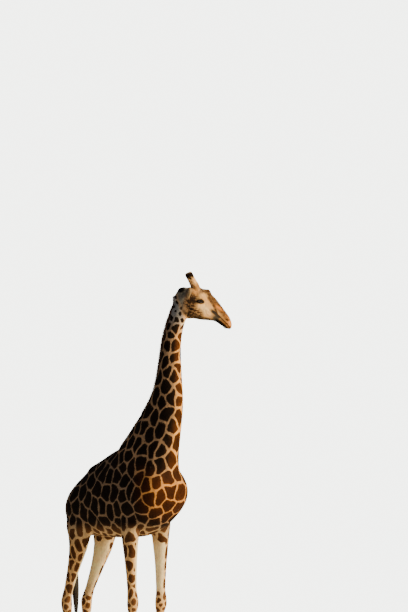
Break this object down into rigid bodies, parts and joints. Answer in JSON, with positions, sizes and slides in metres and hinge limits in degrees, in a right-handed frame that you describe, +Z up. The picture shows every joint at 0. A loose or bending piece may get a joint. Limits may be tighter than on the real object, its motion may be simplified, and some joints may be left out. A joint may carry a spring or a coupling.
{
  "type": "giraffe",
  "caption": "Life-size standing bull giraffe with a long neck, dark net-patterned coat, short stiff mane, blunt horns and a tufted tail, its head turned to its left.",
  "frame": {"origin": "middle of the floor under the whole animal: the bottom centre of its bounding box", "axes": "+Z up, +X forward along the trunk from rump to chest, +Y to the animal's left; the head is turned to the left"},
  "size_m": [2.4708, 1.0518, 5.152],
  "materials": {
    "coat": "short flat hair, near-black brown polygonal patches parted by tan to cream lines",
    "face": "very short hair, tan nose bridge, cream cheeks, grey lips",
    "leg": "short flat hair, tan with small dark spots that fade towards the hoof",
    "mane_hair": "stiff upright hair, dark brown",
    "horn_hair": "short tan hair, dark ring below a worn bald top",
    "tail_hair": "long coarse black hair",
    "hoof_horn": "dull dark horn, scuffed at the rim",
    "eye": "wet glossy dark brown eye"
  },
  "bodies": {
    "root": {"head": "face", "jaw": "face", "neck_upper": "coat", "neck_lower": "coat", "mane": "mane_hair", "trunk": "coat", "foreleg_left_upper": "coat", "foreleg_left_lower": "leg", "foreleg_right_upper": "coat", "foreleg_right_lower": "leg", "hindleg_left_upper": "coat", "hindleg_left_lower": "leg", "hindleg_right_upper": "coat", "hindleg_right_lower": "leg", "hoof_foreleg_left": "hoof_horn", "hoof_foreleg_right": "hoof_horn", "hoof_hindleg_left": "hoof_horn", "hoof_hindleg_right": "hoof_horn", "tail": "leg", "tail_tuft": "tail_hair", "ossicone_left": "horn_hair", "ossicone_right": "horn_hair", "ear_left": "face", "ear_right": "face", "eye_left": "eye", "eye_right": "eye"}
  },
  "joints": []
}
